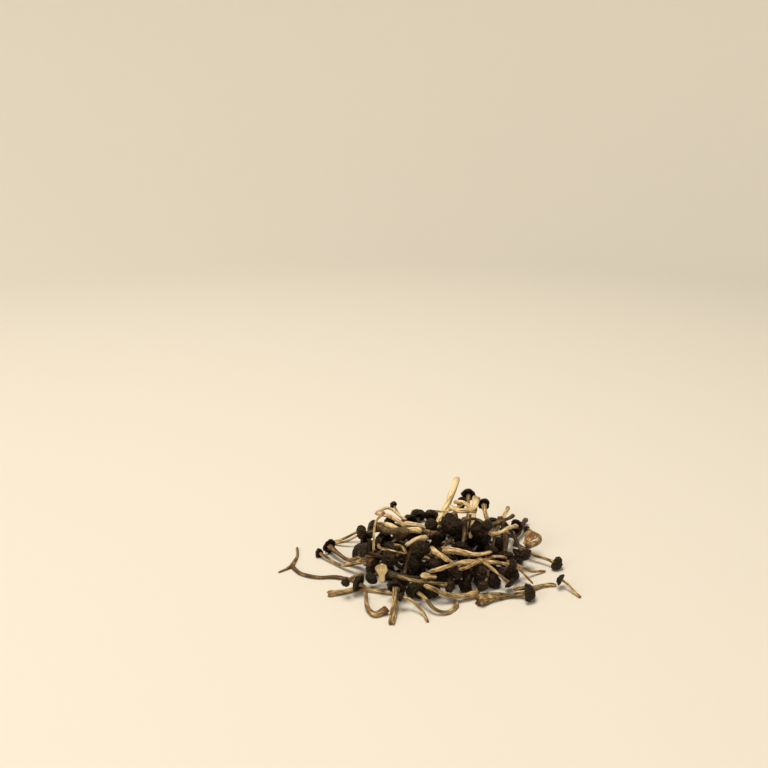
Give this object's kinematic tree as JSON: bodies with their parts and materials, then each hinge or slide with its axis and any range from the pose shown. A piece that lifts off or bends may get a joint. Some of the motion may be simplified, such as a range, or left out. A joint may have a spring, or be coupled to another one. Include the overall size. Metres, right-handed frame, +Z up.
{
  "type": "dried beech mushroom cluster",
  "caption": "Loose low heap of small dried mushrooms with dark wrinkled caps and pale twisted stems, for set dressing and food scenes.",
  "frame": {"origin": "centre of the heap's outer box, on the surface that it lies on", "axes": "+Z up, +X to the right along the heap's longest extent and +Y to its back, as seen from the front"},
  "size_m": [0.17, 0.1154, 0.0362],
  "materials": {
    "dried_stem": "matt, pale tan to greyish beige with fine lengthwise wrinkles, reddish brown at the cut foot",
    "dried_cap": "matt, nearly black brown and wrinkled",
    "cut_flesh": "matt, pale cream cut face"
  },
  "bodies": {
    "root": {"slice_under_middle": "cut_flesh", "clump_under_1": "dried_cap", "clump_under_2": "dried_cap", "clump_under_3": "dried_cap", "clump_under_4": "dried_cap", "clump_under_5": "dried_cap", "stem_forked": "dried_stem", "clump_left_pair": "dried_stem", "mushroom_front_long": "dried_stem", "mushroom_front_hook": "dried_stem", "mushroom_front_button": "dried_stem", "mushroom_front_upright": "dried_stem", "mushroom_front_thin": "dried_stem", "mushroom_front_bow": "dried_stem", "stem_front": "dried_stem", "mushroom_front_lying": "dried_stem", "mushroom_right_thick": "dried_stem", "stem_right_arch": "dried_stem", "mushroom_right_thin": "dried_stem", "mushroom_right_button": "dried_stem", "mushroom_right_hook": "dried_stem", "stem_right_dark": "dried_stem", "stem_right_orange": "dried_stem", "clump_right_red_pair": "dried_stem", "clump_left_lean_pair": "dried_stem", "stem_back_twig": "dried_stem", "mushroom_back_right": "dried_stem", "stem_trumpet": "dried_stem", "mushroom_back_gills": "dried_stem", "mushroom_back_pin": "dried_stem", "stem_pointing": "dried_stem", "clump_lower_left": "dried_cap", "clump_left_dark": "dried_cap", "clump_front_caps": "dried_cap", "clump_centre_low": "dried_cap", "clump_right_dark": "dried_cap", "mushroom_white_neck": "dried_stem", "mushroom_round_cap": "dried_cap", "clump_middle_caps": "dried_cap", "clump_upper_left": "dried_cap", "stem_olive": "dried_stem", "slice_front": "cut_flesh", "slice_middle": "cut_flesh", "clump_hub": "dried_stem", "stem_red_twist": "dried_stem", "stem_pale_down": "dried_stem", "stem_pale_wide": "dried_stem", "stem_s_curve": "dried_stem", "stem_curl": "dried_stem", "stem_fork_pale": "dried_stem", "stem_broad": "dried_stem", "stem_broad_olive": "dried_stem", "stem_thin_arch": "dried_stem", "clump_green_pair": "dried_stem", "clump_top": "dried_cap", "clump_back_left_pair": "dried_stem", "clump_back_pair": "dried_stem", "mushroom_bowed": "dried_stem", "clump_back_diagonal": "dried_stem", "flake_right": "dried_stem"}
  },
  "joints": []
}
